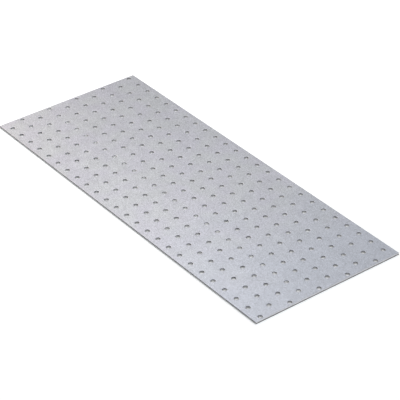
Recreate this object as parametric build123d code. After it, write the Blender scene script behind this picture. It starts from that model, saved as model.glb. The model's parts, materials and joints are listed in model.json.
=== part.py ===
from build123d import *
import os

# Perforated nail plate: one flat sheet of zinc-coated steel, laid over a timber joint and nailed
# down through its staggered rows of round holes. Lengths are in millimetres.
# Frame: the origin is on the underside, in the middle of the plate. +X runs along the plate and
# along its rows of holes, +Y across them, and +Z up, out of the side that the punch entered.

# Driving dimensions
PITCH = 20.0  # from hole to hole along a row, and from one row to the next
HOLES_PER_ROW = 25
ROWS = 10
HOLE_RADIUS = 2.5
THICKNESS = 2.5

# Marks of the tools. The punch draws the rim of a hole down before it shears, and the slug breaks
# out of the underside a little wider than the punch. The guillotine rounds the outline's top edge.
HOLE_ROLLOVER = 0.25
HOLE_BREAKOUT = 0.1
OUTLINE_ROLLOVER = 0.2

# Worked out: each hole has one pitch of sheet in both directions, and neighbouring rows are moved
# half a pitch against each other, so a row ends a quarter of a pitch nearer to one end.
LENGTH = HOLES_PER_ROW * PITCH
WIDTH = ROWS * PITCH
STAGGER = PITCH / 2


def blank_with_holes():
    """The sheet's outline, less two interleaved grids that hold every second row each."""
    with BuildSketch() as outline:
        Rectangle(LENGTH, WIDTH)
        with Locations((-STAGGER / 2, PITCH / 2), (STAGGER / 2, -PITCH / 2)):
            with GridLocations(PITCH, 2 * PITCH, HOLES_PER_ROW, ROWS // 2):
                Circle(HOLE_RADIUS, mode=Mode.SUBTRACT)
    return outline.sketch


def perforated_plate():
    """The punched and cut sheet. A hole's drawn rim and its wider lower mouth are short cones."""
    with BuildPart() as plate:
        add(blank_with_holes())
        extrude(amount=THICKNESS)
        top = plate.faces().sort_by(Axis.Z)[-1]
        underside = plate.faces().sort_by(Axis.Z)[0]
        top_rims = top.edges().filter_by(GeomType.CIRCLE)
        lower_rims = underside.edges().filter_by(GeomType.CIRCLE)
        chamfer(top_rims, HOLE_ROLLOVER)
        chamfer(lower_rims, HOLE_BREAKOUT)
        top_outline = plate.faces().sort_by(Axis.Z)[-1].edges().filter_by(GeomType.LINE)
        fillet(top_outline, OUTLINE_ROLLOVER)
    return plate.part


def main():
    os.makedirs("parts", exist_ok=True)
    part = perforated_plate()
    part.label = "perforated_plate"
    export_step(part, "parts/perforated_plate.step")
    print("size", part.bounding_box().size, "volume", round(part.volume, 1), "valid", part.is_valid)


main()
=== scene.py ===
import json
import math

import bpy
import numpy as np
from mathutils import Matrix, Vector


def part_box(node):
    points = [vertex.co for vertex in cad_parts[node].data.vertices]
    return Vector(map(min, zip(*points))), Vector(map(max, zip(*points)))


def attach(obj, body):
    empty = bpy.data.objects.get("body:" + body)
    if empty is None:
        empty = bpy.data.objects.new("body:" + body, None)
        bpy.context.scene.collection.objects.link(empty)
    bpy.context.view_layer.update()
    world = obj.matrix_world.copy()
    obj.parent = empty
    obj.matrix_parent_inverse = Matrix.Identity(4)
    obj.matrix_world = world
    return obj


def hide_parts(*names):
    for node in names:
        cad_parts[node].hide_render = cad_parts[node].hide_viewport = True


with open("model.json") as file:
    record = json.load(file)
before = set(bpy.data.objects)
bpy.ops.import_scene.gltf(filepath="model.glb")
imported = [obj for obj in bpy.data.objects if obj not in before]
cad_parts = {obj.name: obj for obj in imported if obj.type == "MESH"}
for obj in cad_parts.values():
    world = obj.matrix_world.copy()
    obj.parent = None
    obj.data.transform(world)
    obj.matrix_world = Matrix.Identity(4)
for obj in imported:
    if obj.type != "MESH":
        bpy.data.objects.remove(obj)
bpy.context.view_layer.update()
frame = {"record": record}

# A perforated nail plate of zinc-coated sheet steel. Positions are in metres in the part's frame:
# +X along the plate and its rows of holes, +Y across them, +Z up, out of the punched side.

MM = 0.001
NODE = "perforated_plate"
HOLES_PER_ROW = 25
ROWS = 10

LOW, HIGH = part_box(NODE)
CENTRE = (LOW + HIGH) / 2
HALF_LENGTH = (HIGH.x - LOW.x) / 2
HALF_WIDTH = (HIGH.y - LOW.y) / 2
TOP = HIGH.z
SHEET = (HIGH.z - LOW.z) / MM  # the sheet's thickness, in mm
PITCH = 2 * HALF_LENGTH / HOLES_PER_ROW
PATTERNS = [m for m in frame["record"]["mounts"] if m["kind"] == "bolt_pattern"]
HOLE_RADIUS = PATTERNS[0]["dims"]["hole_r_mm"] * MM

# ---------------------------------------------------------------------------------------------
# The sheet's mesh
# ---------------------------------------------------------------------------------------------

SEED = 20
SEGMENTS = 32  # round each hole

# Each hole has its own cell of both faces. The cells' borders lie on a lattice over the plate.
CELL_STEP = PITCH / 4
CELL_REACH = 2  # steps from a hole's centre to its cell's border
COLUMNS = round(2 * HALF_LENGTH / CELL_STEP)
LINES = round(2 * HALF_WIDTH / CELL_STEP)

# A hole's section from the flat top face to the flat underside: (wider than the hole, below the
# top face), in mm. The punch draws the rim down, cuts a smooth land, then the slug tears out.
BURR = 0.05  # how far the torn lower lips stand below the flat underside
RIM = [(0.75, 0.0), (0.52, 0.04), (0.32, 0.13), (0.17, 0.26), (0.0, 0.50)]
LAND_END = [(0.0, 0.38 * SHEET), (0.02, 0.43 * SHEET)]
TORN = [(0.03, 0.8 * SHEET), (0.04, SHEET)]
LIP = [(0.12, SHEET), (0.30, SHEET - BURR)]
HOLE_SECTION = RIM + LAND_END + TORN + LIP
LAND_RINGS = (len(RIM), len(RIM) + 1)
WALL_END = len(HOLE_SECTION) - len(LIP) - 1  # the first band of the lip

# How the holes differ: the drawn rim's size as a factor, the share of it by which it leans to one
# side, and in mm the lean, the waves and the roughness of the line where the wall starts to tear.
RIM_SIZE = (0.88, 1.12)
RIM_LEAN = (0.05, 0.2)
TEAR_LEAN = (0.04, 0.14)
TEAR_WAVE = 0.06
TEAR_ROUGHNESS = 0.03

# The outline's section, the same way: (in from the outline, below the top face), in mm.
ROLLED = [(0.70, 0.0), (0.42, 0.03), (0.18, 0.12), (0.04, 0.27), (0.0, 0.48)]
SHEARED = [(0.0, 0.4 * SHEET), (0.03, 0.44 * SHEET)]
SHEARED_LIP = [(0.05, SHEET - BURR), (0.05, SHEET), (0.20, SHEET - BURR)]
OUTLINE_SECTION = ROLLED + SHEARED + SHEARED_LIP
SHORT_SIDE_ROLL = 0.5  # the short sides are cut more sharply than the long, slit ones
LONG_SIDES = ("south", "north")

# Bands of a drawn rim or a rolled edge that keep their zinc. It is rubbed off the steeper ones.
RIM_COATED, ROLL_COATED = 3, 1

# Material slots: zinc-coated, punched, punched with a worn punch, slit to width, sheared to length.
FACE, CUT, WORN_CUT, SLIT, END_CUT = range(5)

WORN_ROW = 6  # counted from 0 at the +Y side: its punch is worn, so the walls are torn bright

# Texture space for the baked maps, in parts of its width: the two faces keep the plate's own
# proportions, and the cut walls lie unrolled in strips below them.
MAP_MARGIN = 0.015
MAP_SCALE = (1 - 2 * MAP_MARGIN) / (2 * HALF_LENGTH)
TOP_FLOOR, UNDER_FLOOR, WALL_FLOOR, SIDE_FLOOR = 0.6, 0.205, 0.055, MAP_MARGIN / 4
WALL_STRIP = (0.0388, 0.0140)  # room for one hole's wall
SIDE_STRIP = 0.013  # room for the height of one side
EAST_START = 0.5  # the two short sides share a strip, and the one at +X has its second half
STRIP_FILL = 0.8  # how much of a strip its wall takes up


def hole_centres():
    """(x, y, row, column) of every hole. Neighbouring rows are moved half a pitch apart."""
    for row in range(ROWS):
        shift = PITCH / 4 * (1 if row % 2 else -1)
        for column in range(HOLES_PER_ROW):
            x = (column - (HOLES_PER_ROW - 1) / 2) * PITCH + shift
            yield x, ((ROWS - 1) / 2 - row) * PITCH, row, column


def top_map(x, y):
    """Where a point of the top face lies in the maps."""
    return MAP_MARGIN + (x + HALF_LENGTH) * MAP_SCALE, TOP_FLOOR + (y + HALF_WIDTH) * MAP_SCALE


def under_map(x, y):
    """Where a point of the underside lies in the maps, seen from below."""
    return MAP_MARGIN + (x + HALF_LENGTH) * MAP_SCALE, UNDER_FLOOR + (HALF_WIDTH - y) * MAP_SCALE


def wall_map(row, column, segment, depth):
    """Where a point of a hole's wall lies in that hole's own strip."""
    along = WALL_STRIP[0] * STRIP_FILL * segment / SEGMENTS
    up = WALL_STRIP[1] * STRIP_FILL * (1 - depth / SHEET)
    return MAP_MARGIN + column * WALL_STRIP[0] + along, WALL_FLOOR + row * WALL_STRIP[1] + up


def side_map(place, side, depth):
    """Where a point of the outline lies: one strip per long side, and one for both short sides."""
    column, line = place
    if side in LONG_SIDES:
        along = column * CELL_STEP * MAP_SCALE
        strip = LONG_SIDES.index(side)
    else:
        along = line * CELL_STEP * MAP_SCALE + (EAST_START if side == "east" else 0.0)
        strip = len(LONG_SIDES)
    return MAP_MARGIN + along, SIDE_FLOOR + SIDE_STRIP * (strip + STRIP_FILL * (1 - depth / SHEET))


class Sheet:
    """Collects the vertices and faces of the plate, with each face's slot and map corners."""

    def __init__(self):
        self.points, self.faces, self.slots, self.maps = [], [], [], []

    def point(self, x, y, z):
        self.points.append((x, y, z))
        return len(self.points) - 1

    def face(self, corners, slot, corner_maps):
        self.faces.append(corners)
        self.slots.append(slot)
        self.maps.extend(corner_maps)

    def flat(self, corners, place, slot=FACE):
        """A face of the top or the underside, mapped by where its corners lie."""
        self.face(corners, slot, [place(*self.points[corner][:2]) for corner in corners])

    def mesh(self, name):
        mesh = bpy.data.meshes.new(name)
        mesh.from_pydata(self.points, [], self.faces)
        mesh.polygons.foreach_set("material_index", self.slots)
        mesh.polygons.foreach_set("use_smooth", [True] * len(self.faces))
        layer = mesh.uv_layers.new(name="OFBake")
        layer.data.foreach_set("uv", np.array(self.maps, np.float32).ravel())
        mesh.validate()
        mesh.update()
        return mesh


def hole_rings(sheet, x, y, chance):
    """The rings of vertices round one hole, from the top face to the underside."""
    size = chance.uniform(*RIM_SIZE)
    lean = chance.uniform(*RIM_LEAN)
    lean_side = chance.uniform(0, math.tau)
    tear = chance.uniform(*TEAR_LEAN)
    tear_side = chance.uniform(0, math.tau)
    lip_side = chance.uniform(0, math.tau)
    rings = []
    for number, (wider, deep) in enumerate(HOLE_SECTION):
        ring = []
        for segment in range(SEGMENTS):
            angle = math.tau * segment / SEGMENTS
            out, down = wider, deep
            if number < len(RIM):
                pull = size * (1 + lean * math.cos(angle - lean_side))
                out, down = wider * pull, deep * pull
            elif number in LAND_RINGS:
                down += tear * math.cos(angle - tear_side) + TEAR_WAVE * math.sin(3 * angle + tear_side)
                down += chance.uniform(-TEAR_ROUGHNESS, TEAR_ROUGHNESS)
            elif deep == SHEET:
                down -= BURR * 0.5 * (1 + math.cos(2 * angle - lip_side))
            radius = HOLE_RADIUS + out * MM
            across, along = radius * math.sin(angle), radius * math.cos(angle)
            ring.append(sheet.point(x + along, y + across, TOP - down * MM))
        rings.append(ring)
    return rings


def punch_hole(sheet, x, y, row, column, chance):
    """One hole, from its drawn rim to its lower lip. Returns its first and last ring."""
    rings = hole_rings(sheet, x, y, chance)
    wall_slot = WORN_CUT if row == WORN_ROW else CUT
    for number, (upper, lower) in enumerate(zip(rings, rings[1:])):
        top_depth, low_depth = HOLE_SECTION[number][1], HOLE_SECTION[number + 1][1]
        for segment in range(SEGMENTS):
            after = (segment + 1) % SEGMENTS
            corners = [upper[after], upper[segment], lower[segment], lower[after]]
            if number < RIM_COATED:
                sheet.flat(corners, top_map)
            elif number >= WALL_END:
                sheet.flat(corners, under_map, wall_slot)
            else:
                strip_corners = [
                    (segment + 1, top_depth),
                    (segment, top_depth),
                    (segment, low_depth),
                    (segment + 1, low_depth),
                ]
                sheet.face(corners, wall_slot, [wall_map(row, column, s, d) for s, d in strip_corners])
    return rings[0], rings[-1]


def stitch(sheet, centre, ring, border, place, turned):
    """Fills the flat face between a hole's ring and its cell's border, both anticlockwise."""

    def angle_of(vertex):
        x, y, _ = sheet.points[vertex]
        return math.atan2(y - centre[1], x - centre[0]) % math.tau

    def opened(loop):
        """The closed loop as a row that ends where it starts, and the angle of each vertex."""
        start = min(range(len(loop)), key=lambda n: angle_of(loop[n]))
        loop = loop[start:] + loop[:start]
        angles = [angle_of(vertex) for vertex in loop]
        return loop + loop[:1], angles + [angles[0] + math.tau]

    inner, inner_angles = opened(ring)
    outer, outer_angles = opened(border)
    near = 0
    far = 0
    while near < len(ring) or far < len(border):
        ring_left, border_left = near < len(ring), far < len(border)
        if not border_left or (ring_left and inner_angles[near + 1] <= outer_angles[far + 1]):
            corners = [inner[near], outer[far], inner[near + 1]]
            near += 1
        else:
            corners = [inner[near], outer[far], outer[far + 1]]
            far += 1
        sheet.flat(corners[::-1] if turned else corners, place)


def lattice_loop(west, south, east, north):
    """Lattice places (column, line) round a rectangle, anticlockwise from its corner at -X, -Y."""
    return (
        [(column, south) for column in range(west, east)]
        + [(east, line) for line in range(south, north)]
        + [(column, north) for column in range(east, west, -1)]
        + [(west, line) for line in range(north, south, -1)]
    )


def cell_border(x, y):
    """Lattice places round one hole's cell. End cells reach to the plate's end."""
    column, line = round((x + HALF_LENGTH) / CELL_STEP), round((y + HALF_WIDTH) / CELL_STEP)
    west, east = column - CELL_REACH, column + CELL_REACH
    if west < CELL_REACH:
        west = 0
    if east > COLUMNS - CELL_REACH:
        east = COLUMNS
    return lattice_loop(west, line - CELL_REACH, east, line + CELL_REACH)


def lattice_point(sheet, place, inset, deep):
    """A vertex at a lattice place, deep mm below the top face. One on the outline is moved in, by
    inset mm on a long side and by less on a short one."""
    limit_x = HALF_LENGTH - inset * SHORT_SIDE_ROLL * MM
    limit_y = HALF_WIDTH - inset * MM
    x = min(max(place[0] * CELL_STEP - HALF_LENGTH, -limit_x), limit_x)
    y = min(max(place[1] * CELL_STEP - HALF_WIDTH, -limit_y), limit_y)
    return sheet.point(x, y, TOP - deep * MM)


def cut_outline(sheet, top_points, under_points):
    """The four cut sides, between the outer vertices of the top face and of the underside."""
    places = lattice_loop(0, 0, COLUMNS, LINES)
    sides = ["south"] * COLUMNS + ["east"] * LINES + ["north"] * COLUMNS + ["west"] * LINES
    loops = [[top_points[place] for place in places]]
    for inset, deep in OUTLINE_SECTION[1:-1]:
        loops.append([lattice_point(sheet, place, inset, deep) for place in places])
    loops.append([under_points[place] for place in places])
    for number, (upper, lower) in enumerate(zip(loops, loops[1:])):
        top_depth, low_depth = OUTLINE_SECTION[number][1], OUTLINE_SECTION[number + 1][1]
        for here, (place, side) in enumerate(zip(places, sides)):
            after = (here + 1) % len(places)
            corners = [upper[here], lower[here], lower[after], upper[after]]
            if number < ROLL_COATED:
                sheet.flat(corners, top_map)
                continue
            strip_corners = [
                (place, top_depth),
                (place, low_depth),
                (places[after], low_depth),
                (places[after], top_depth),
            ]
            slot = SLIT if side in LONG_SIDES else END_CUT
            sheet.face(corners, slot, [side_map(p, side, d) for p, d in strip_corners])


def plate_mesh():
    """One closed mesh: every hole in its own cell of both faces, and the outline's sides."""
    chance = np.random.default_rng(SEED)
    sheet = Sheet()
    places = sorted({place for x, y, _, _ in hole_centres() for place in cell_border(x, y)})
    top_points = {place: lattice_point(sheet, place, *OUTLINE_SECTION[0]) for place in places}
    under_points = {place: lattice_point(sheet, place, *OUTLINE_SECTION[-1]) for place in places}
    for x, y, row, column in hole_centres():
        first, last = punch_hole(sheet, x, y, row, column, chance)
        border = cell_border(x, y)
        stitch(sheet, (x, y), first, [top_points[place] for place in border], top_map, False)
        stitch(sheet, (x, y), last, [under_points[place] for place in border], under_map, True)
    cut_outline(sheet, top_points, under_points)
    return sheet.mesh("punched_sheet")


# ---------------------------------------------------------------------------------------------
# Materials
# ---------------------------------------------------------------------------------------------

# The zinc's grey, the lilac of its stains and the blue-grey of its clouds.
ZINC_GREY = (0.566, 0.571, 0.592, 1)
ZINC_LILAC = (0.568, 0.562, 0.607, 1)
ZINC_BLUE = (0.545, 0.559, 0.609, 1)

# The clouds start, and cover all, where x and their noise times CLOUD_WANDER add up to these, in mm.
CLOUDS_START, CLOUDS_FULL, CLOUD_WANDER = 120, 290, 150.0
SPANGLE_SIZE = 4.5  # mm

# Heights above the underside, in parts of the sheet's thickness: where the torn part of a punched
# or slit wall ends, where that of a sheared one ends, and where the painted shade at the foot of
# both ends.
PUNCH_TORN, SHEAR_TORN, FOOT_SHADE_HEIGHT = 0.61, 0.44, 0.3
TEAR_BLEND = 0.03  # half the height over which smooth steel turns into torn steel


def add_node(tree, kind, inputs=None, **settings):
    """A new node with its settings, and a value or a link for each socket named in inputs."""
    made = tree.nodes.new(kind)
    for name, value in settings.items():
        setattr(made, name, value)
    for name, value in (inputs or {}).items():
        if isinstance(value, bpy.types.NodeSocket):
            tree.links.new(value, made.inputs[name])
        else:
            made.inputs[name].default_value = value
    return made


def new_material(name):
    """A material with an empty Principled shader, and its coordinates in mm on the plate."""
    material = bpy.data.materials.new(name)
    material.use_nodes = True
    tree = material.node_tree
    tree.nodes.clear()
    shader = add_node(tree, "ShaderNodeBsdfPrincipled")
    add_node(tree, "ShaderNodeOutputMaterial", {"Surface": shader.outputs["BSDF"]})
    place = add_node(tree, "ShaderNodeTexCoord").outputs["Object"]
    mm = add_node(tree, "ShaderNodeVectorMath", {0: place, 3: 1 / MM}, operation="SCALE").outputs[0]
    return material, tree, shader, mm


def stretched(tree, place, factors):
    """The same coordinates with each axis scaled, so that a pattern on them is drawn out."""
    made = add_node(tree, "ShaderNodeVectorMath", {0: place, 1: factors}, operation="MULTIPLY")
    return made.outputs[0]


def noise(tree, place, size, detail=2.0, roughness=0.5):
    """Soft noise with blotches of about size mm, about 0.5 on average."""
    settings = {"Vector": place, "Scale": 1 / size, "Detail": detail, "Roughness": roughness}
    return add_node(tree, "ShaderNodeTexNoise", settings).outputs["Fac"]


def ranged(tree, value, start, end, low, high):
    """The value carried from start..end to low..high, and held at the ends."""
    settings = {"Value": value, "From Min": start, "From Max": end, "To Min": low, "To Max": high}
    return add_node(tree, "ShaderNodeMapRange", settings).outputs[0]


def combined(tree, operation, values):
    """The values put together one after another by a Math node's operation."""
    total = values[0]
    for value in values[1:]:
        total = add_node(tree, "ShaderNodeMath", {0: total, 1: value}, operation=operation).outputs[0]
    return total


def product(tree, *values):
    """All the values multiplied together."""
    return combined(tree, "MULTIPLY", values)


def added(tree, *values):
    """All the values added together."""
    return combined(tree, "ADD", values)


def blended(tree, share, first, second):
    """The first colour where share is 0, and the second where it is 1."""
    return add_node(tree, "ShaderNodeMix", {0: share, 6: first, 7: second}, data_type="RGBA").outputs[2]


def shaded(tree, colour, brightness):
    """The colour times a brightness."""
    made = add_node(tree, "ShaderNodeVectorMath", {0: colour, 3: brightness}, operation="SCALE")
    return made.outputs[0]


def bumped(tree, shader, relief, strength, depth):
    """Gives the shader a relief, depth mm deep."""
    settings = {"Height": relief, "Strength": strength, "Distance": depth * MM}
    made = add_node(tree, "ShaderNodeBump", settings)
    tree.links.new(made.outputs[0], shader.inputs["Normal"])


def zinc_coat():
    """Galvanised sheet: small spangle, coarse and fine grain, rolling lines, light scuffs, lilac
    stains, and blue-grey clouds towards +X."""
    material, tree, shader, mm = new_material("zinc_coat")
    clouds = noise(tree, mm, 55.0, 1.0)
    stains = noise(tree, mm, 34.0, 2.0)
    along = add_node(tree, "ShaderNodeSeparateXYZ", {0: mm}).outputs[0]
    cloud_line = added(tree, along, product(tree, clouds, CLOUD_WANDER))
    clouded = ranged(tree, cloud_line, CLOUDS_START, CLOUDS_FULL, 0, 1)
    stained = ranged(tree, stains, 0.4, 0.6, 0, 1)
    tint = blended(tree, clouded, blended(tree, stained, ZINC_GREY, ZINC_LILAC), ZINC_BLUE)
    patches = noise(tree, mm, 22.0, 2.0)
    cell_settings = {"Vector": mm, "Scale": 1 / SPANGLE_SIZE}
    cells = add_node(tree, "ShaderNodeTexVoronoi", cell_settings, feature="F1")
    spangle = add_node(tree, "ShaderNodeSeparateColor", {"Color": cells.outputs["Color"]}).outputs[0]
    grain = noise(tree, mm, 0.75, 1.0)
    fine = noise(tree, mm, 0.35, 1.0)
    lines = noise(tree, stretched(tree, mm, (0.02, 1, 1)), 1.6, 3.0, 0.6)
    scuffs = noise(tree, stretched(tree, mm, (0.05, 1, 1)), 0.9, 1.0)
    brightness = product(
        tree,
        ranged(tree, patches, 0.3, 0.7, 0.976, 1.024),
        ranged(tree, spangle, 0, 1, 0.988, 1.012),
        ranged(tree, grain, 0.25, 0.75, 0.66, 1.34),
        ranged(tree, fine, 0.25, 0.75, 0.95, 1.05),
        ranged(tree, lines, 0.3, 0.7, 0.98, 1.02),
        ranged(tree, scuffs, 0.68, 0.76, 1.0, 1.06),
    )
    tree.links.new(shaded(tree, tint, brightness), shader.inputs["Base Color"])
    roughness = added(
        tree,
        ranged(tree, spangle, 0, 1, 0.48, 0.52),
        ranged(tree, grain, 0.3, 0.7, -0.04, 0.04),
        ranged(tree, lines, 0.3, 0.7, -0.02, 0.02),
    )
    tree.links.new(roughness, shader.inputs["Roughness"])
    shader.inputs["Metallic"].default_value = 1.0
    relief = added(
        tree,
        product(tree, grain, 0.6),
        product(tree, fine, 0.3),
        product(tree, lines, 0.3),
        product(tree, spangle, 0.12),
    )
    bumped(tree, shader, relief, 0.35, 0.03)
    return material


def cut_steel(name, smooth_tone_and_shade, torn_tone_and_shade, torn_height, painted_foot_shade=0.4):
    """The bare steel of a cut wall: a smooth band above a torn one, darkened towards the wall's foot by
    painted shade. A near-black tone of either band is painted shade too.
    """
    material, tree, shader, mm = new_material(name)
    height = add_node(tree, "ShaderNodeSeparateXYZ", {0: mm}).outputs[2]
    ripple = noise(tree, mm, 1.4)
    edge = added(tree, height, ranged(tree, ripple, 0.3, 0.7, -0.18, 0.18))
    torn_from, torn_to = (torn_height - TEAR_BLEND) * SHEET, (torn_height + TEAR_BLEND) * SHEET
    torn = ranged(tree, edge, torn_from, torn_to, 1, 0)
    drawn = noise(tree, stretched(tree, mm, (1, 1, 0.08)), 0.16, 2.0, 0.6)
    grains = noise(tree, mm, 0.22, 3.0, 0.7)
    smooth_band_and_shade = shaded(tree, smooth_tone_and_shade, ranged(tree, drawn, 0.3, 0.7, 0.86, 1.12))
    # Painted shade: the wall darkens towards its foot, most at the underside.
    foot_shade = ranged(tree, height, 0.02 * SHEET, FOOT_SHADE_HEIGHT * SHEET, painted_foot_shade, 1.0)
    torn_shade = product(tree, foot_shade, ranged(tree, grains, 0.3, 0.7, 0.75, 1.25))
    colour = blended(tree, torn, smooth_band_and_shade, shaded(tree, torn_tone_and_shade, torn_shade))
    tree.links.new(colour, shader.inputs["Base Color"])
    tree.links.new(ranged(tree, torn, 0, 1, 0.42, 0.72), shader.inputs["Roughness"])
    shader.inputs["Metallic"].default_value = 1.0
    relief = added(tree, product(tree, drawn, 0.25), product(tree, torn, grains))
    bumped(tree, shader, relief, 0.5, 0.04)
    return material


def plate_materials():
    """The materials of the plate's slots, in the order of the slots."""
    return [
        zinc_coat(),
        # The near-black smooth band of punched_steel is painted shade, which darkens the upper part of
        # each hole's wall into the dark arc of its far side. Its bright torn band is the steel's own.
        cut_steel("punched_steel", (0.07, 0.07, 0.075), (0.70, 0.70, 0.70), PUNCH_TORN),
        # worn_cut_steel has the same painted shade, darker, on its smooth band and at its foot. Its
        # bright torn band is the worn punch's own rougher tearing.
        cut_steel("worn_cut_steel", (0.04, 0.04, 0.045), (0.95, 0.95, 0.95), PUNCH_TORN, painted_foot_shade=0.1),
        # The dark smooth band of slit_steel is painted shade along the long sides. Its lighter torn
        # band is the steel's own.
        cut_steel("slit_steel", (0.13, 0.13, 0.135), (0.62, 0.62, 0.62), PUNCH_TORN),
        # The bright smooth band of sheared_steel is the burnished cut. Its near-black torn band is
        # partly the darker fracture and partly painted shadow, the contact shadow along the short
        # sides.
        cut_steel("sheared_steel", (0.55, 0.55, 0.56), (0.10, 0.10, 0.10), SHEAR_TORN),
    ]


# ---------------------------------------------------------------------------------------------
# The plate
# ---------------------------------------------------------------------------------------------

SMOOTH_BELOW = math.radians(40)  # sharper edges between faces are shaded as edges


def make_plate():
    mesh = plate_mesh()
    mesh.set_sharp_from_angle(angle=SMOOTH_BELOW)
    plate = bpy.data.objects.new("punched_plate", mesh)
    bpy.context.scene.collection.objects.link(plate)
    for material in plate_materials():
        mesh.materials.append(material)
    flatten = plate.modifiers.new("flat_faces_stay_flat", "WEIGHTED_NORMAL")
    flatten.keep_sharp = True
    bpy.context.view_layer.objects.active = plate
    bpy.ops.object.modifier_apply(modifier=flatten.name)
    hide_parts(NODE)
    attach(plate, "root")


# ---------------------------------------------------------------------------------------------
# Floor, light and camera
# ---------------------------------------------------------------------------------------------

FLOOR_REACH = 8.0
FLOOR_WHITE = (0.92, 0.92, 0.92, 1)
FLOOR_GLOW = 0.30  # the floor is a light table, so the plate casts hardly any shadow
PAINTED_SHADOW_GLOW = 0.17  # painted shadow: the floor glows less where the plate covers it
PAINTED_SHADOW_INSET = 1.0 * MM  # from the plate's outline in to where the weaker glow of the painted shadow starts


def floor_paper(name, glow):
    material = bpy.data.materials.new(name)
    material.use_nodes = True
    shader = material.node_tree.nodes["Principled BSDF"]
    shader.inputs["Base Color"].default_value = FLOOR_WHITE
    shader.inputs["Roughness"].default_value = 0.9
    shader.inputs["Specular IOR Level"].default_value = 0.0
    shader.inputs["Emission Color"].default_value = (1, 1, 1, 1)
    shader.inputs["Emission Strength"].default_value = glow
    return material


def make_floor():
    """A plain white floor at the plate's underside: the part that the plate covers, which glows less as
    a painted shadow, and the rest.
    """
    mesh = bpy.data.meshes.new("floor")
    signs = [(-1, -1), (1, -1), (1, 1), (-1, 1)]
    covered_x, covered_y = HALF_LENGTH - PAINTED_SHADOW_INSET, HALF_WIDTH - PAINTED_SHADOW_INSET
    covered = [(a * covered_x, b * covered_y, LOW.z) for a, b in signs]
    corners = covered + [(a * FLOOR_REACH, b * FLOOR_REACH, LOW.z) for a, b in signs]
    around = [(k, k + 4, (k + 1) % 4 + 4, (k + 1) % 4) for k in range(4)]
    mesh.from_pydata(corners, [], [(0, 1, 2, 3)] + around)
    mesh.materials.append(floor_paper("painted_shadow_paper", PAINTED_SHADOW_GLOW))
    mesh.materials.append(floor_paper("floor_paper", FLOOR_GLOW))
    mesh.polygons.foreach_set("material_index", [0] + [1] * len(around))
    floor = bpy.data.objects.new("floor", mesh)
    bpy.context.scene.collection.objects.link(floor)


# Softboxes above the plate's -X end and beyond it: name, place, size, power in watts and colour.
SOFTBOXES = [
    ("above", (-0.35, 0.15, 0.8), 0.5, 1.23, (1, 1, 1)),
    ("middle", (-0.3, 0.0, 0.6), 0.4, 0.53, (1, 1, 1)),
    ("left_end", (-1.1, 0.0, 0.6), 0.4, 2.58, (1.12, 1.0, 0.89)),
]

# The studio's soft light comes from beyond the +Y side and from behind the camera, with hardly any
# from overhead or from beyond the -X end. Each of the two has a direction, the cosine to it where
# its light starts, and its strength, which it has from the cosine FULL_LIGHT on.
STUDIO_SIDES = [((0.0, 1.0, 0.0), -0.2, 1.0), ((0.80, -0.60, 0.0), 0.0, 1.55)]
FULL_LIGHT = 0.9
STUDIO_COLOUR = (0.97, 1.0, 1.03, 1)


def soft_light(name, place, size, power, colour):
    """A square softbox that faces the plate's middle."""
    data = bpy.data.lights.new(name, "AREA")
    data.shape = "SQUARE"
    data.size = size
    data.energy = power
    data.color = colour
    lamp = bpy.data.objects.new(name, data)
    lamp.location = place
    lamp.rotation_euler = (Vector(place) - CENTRE).to_track_quat("Z", "Y").to_euler()
    bpy.context.scene.collection.objects.link(lamp)


def make_light():
    world = bpy.data.worlds.new("studio")
    world.use_nodes = True
    tree = world.node_tree
    way = add_node(tree, "ShaderNodeTexCoord").outputs["Generated"]
    sides = []
    for direction, start, strength in STUDIO_SIDES:
        facing = add_node(tree, "ShaderNodeVectorMath", {0: way, 1: direction}, operation="DOT_PRODUCT")
        sides.append(ranged(tree, facing.outputs[1], start, FULL_LIGHT, 0.0, strength))
    background = tree.nodes["Background"]
    background.inputs["Color"].default_value = STUDIO_COLOUR
    tree.links.new(added(tree, *sides), background.inputs["Strength"])
    bpy.context.scene.world = world
    for softbox in SOFTBOXES:
        soft_light(*softbox)
    bpy.context.scene.view_settings.view_transform = "Standard"


# The camera stands far off with a long lens, so the plate's sides stay nearly parallel.
AIM = Vector((0.0324, -0.0070, TOP))
AZIMUTH, ELEVATION, ROLL = 53.47, 33.68, -1.16  # in degrees
DISTANCE = 2.0382
LENS = 160.98  # this and the sensor are in mm
SENSOR = 36.0


def make_camera():
    azimuth, elevation = math.radians(AZIMUTH), math.radians(ELEVATION)
    flat = math.cos(elevation)
    back = Vector((math.sin(azimuth) * flat, -math.cos(azimuth) * flat, math.sin(elevation)))
    data = bpy.data.cameras.new("camera")
    data.sensor_width = SENSOR
    data.lens = LENS
    camera = bpy.data.objects.new("camera", data)
    turn = back.to_track_quat("Z", "Y").to_matrix() @ Matrix.Rotation(math.radians(ROLL), 3, "Z")
    camera.matrix_world = Matrix.Translation(AIM + back * DISTANCE) @ turn.to_4x4()
    bpy.context.scene.collection.objects.link(camera)
    bpy.context.scene.camera = camera


make_floor()
make_plate()
make_light()
make_camera()
